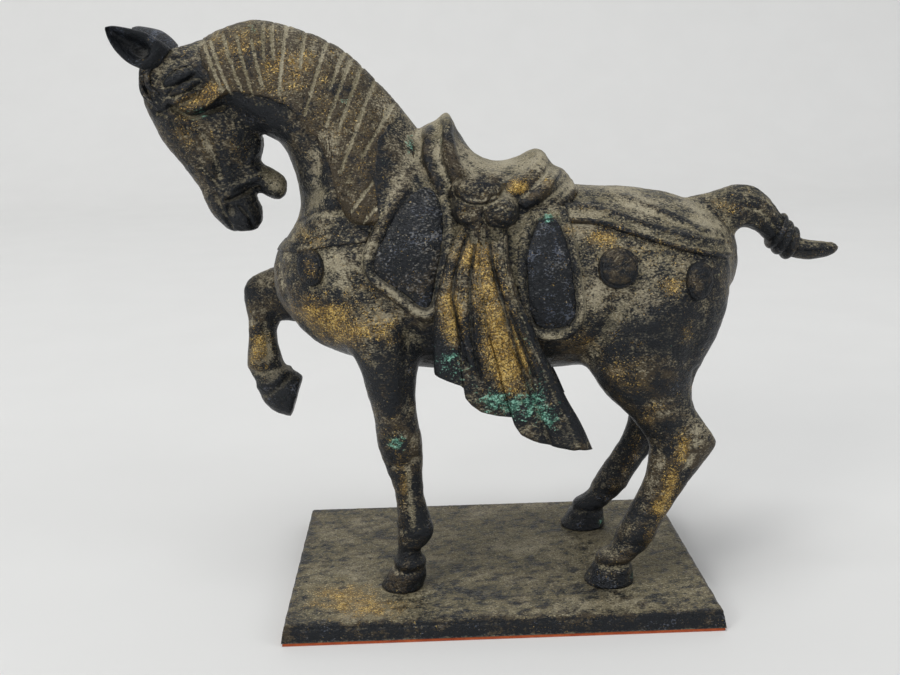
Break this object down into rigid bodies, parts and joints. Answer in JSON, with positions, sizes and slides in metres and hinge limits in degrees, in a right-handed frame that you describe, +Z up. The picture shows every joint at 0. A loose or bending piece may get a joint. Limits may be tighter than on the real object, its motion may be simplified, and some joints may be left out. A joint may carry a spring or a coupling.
{
  "type": "bronze horse statuette",
  "caption": "Standing saddled horse with one foreleg raised, cast in sections with separate saddlery and screwed to a felt-backed rectangular plinth.",
  "frame": {"origin": "centre of the plinth's felt underside, on the surface it stands on", "axes": "+Z up, the horse runs along X and faces -X, its left side is towards -Y"},
  "size_m": [0.212, 0.0844, 0.1738],
  "materials": {
    "bronze_patina": "brown-black patina with pale dust and ochre gilding left in the relief",
    "dark_bronze": "blue-black patina, satin, with pale speckle",
    "dusty_bronze": "grey-tan dusty patina over dark bronze",
    "gilt_bronze": "worn ochre gilding with dark speckle and green verdigris towards the hem",
    "plate_patina": "mottled grey-brown patina, navy-black sloped edges",
    "felt": "orange-red felt",
    "steel": "plain zinc-plated steel"
  },
  "bodies": {
    "root": {"felt_pad": "felt", "plinth": "plate_patina", "hoof_screws": "steel", "seam_pins": "steel", "torso": "bronze_patina", "neck": "bronze_patina", "head": "bronze_patina", "ear_left": "dark_bronze", "ear_right": "dark_bronze", "forelock": "dark_bronze", "mane": "bronze_patina", "foreleg_left": "bronze_patina", "foreleg_right": "bronze_patina", "hindleg_left": "bronze_patina", "hindleg_right": "bronze_patina", "tail": "dark_bronze", "tail_tie": "bronze_patina", "saddle_cloth": "dusty_bronze", "saddle": "dusty_bronze", "front_flap_left": "dark_bronze", "front_flap_right": "dark_bronze", "rear_flap_left": "dark_bronze", "rear_flap_right": "dark_bronze", "drape_left": "gilt_bronze", "drape_right": "gilt_bronze", "knot_left": "dusty_bronze", "knot_right": "dusty_bronze", "breast_strap": "bronze_patina", "crupper_strap_left": "bronze_patina", "crupper_strap_right": "bronze_patina", "breast_medallions": "dark_bronze", "rump_medallions": "dark_bronze", "croup_medallions": "dark_bronze"}
  },
  "joints": []
}
